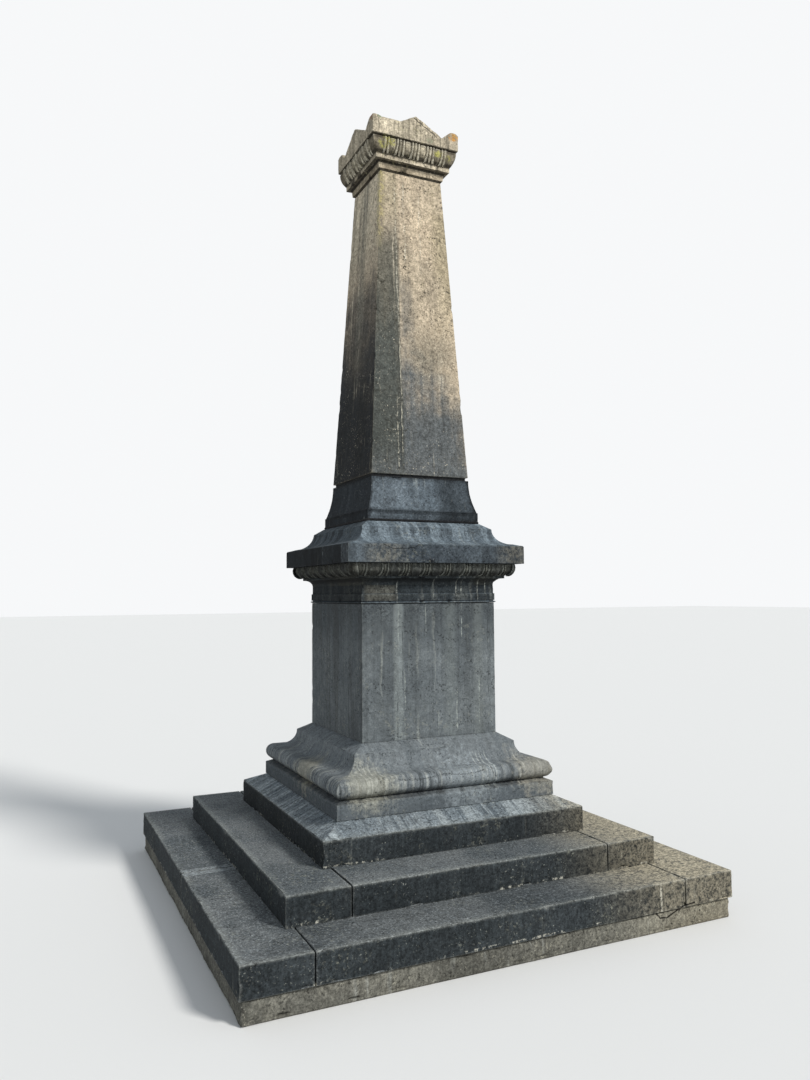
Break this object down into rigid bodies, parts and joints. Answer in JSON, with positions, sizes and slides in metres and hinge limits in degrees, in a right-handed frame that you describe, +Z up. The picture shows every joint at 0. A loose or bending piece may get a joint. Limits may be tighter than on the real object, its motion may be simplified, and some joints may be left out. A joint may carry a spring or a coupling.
{
  "type": "obelisk on a stepped square pedestal",
  "caption": "Weathered limestone obelisk: stepped base, moulded square pedestal with bare die and carved cornice, tapered shaft, capital with carved egg row and gabled crown.",
  "frame": {"origin": "centre of the lower step's footprint at the lowest ground contact, on the axis of the shaft", "axes": "+Z up along the shaft, -Y out of the front face, +X to the right seen from the front"},
  "size_m": [2.82, 2.82, 4.92],
  "materials": {
    "rubble": "rough rubble and old mortar",
    "step_stone": "worn dressed limestone, dark with grime",
    "die_limestone": "dressed limestone with pale water streaks",
    "dark_limestone": "dressed limestone under black crust",
    "warm_limestone": "weathered beige limestone with lichen",
    "pointing": "dark weathered pointing"
  },
  "bodies": {
    "root": {"footing_course": "rubble", "lower_step_front": "step_stone", "lower_step_back": "step_stone", "lower_step_left_front": "step_stone", "lower_step_left_back": "step_stone", "lower_step_right_front": "step_stone", "lower_step_right_back": "step_stone", "lower_step_core": "rubble", "upper_step_front": "step_stone", "upper_step_back": "step_stone", "upper_step_left": "step_stone", "upper_step_right": "step_stone", "upper_step_core": "rubble", "plinth_stone": "step_stone", "base_stone": "die_limestone", "die_stone": "die_limestone", "cornice_stone": "dark_limestone", "cornice_cap": "dark_limestone", "pointing_bead": "pointing", "shaft_foot": "dark_limestone", "shaft_joint": "pointing", "shaft_stone": "warm_limestone", "capital_stone": "warm_limestone", "crown_stone": "warm_limestone"}
  },
  "joints": []
}
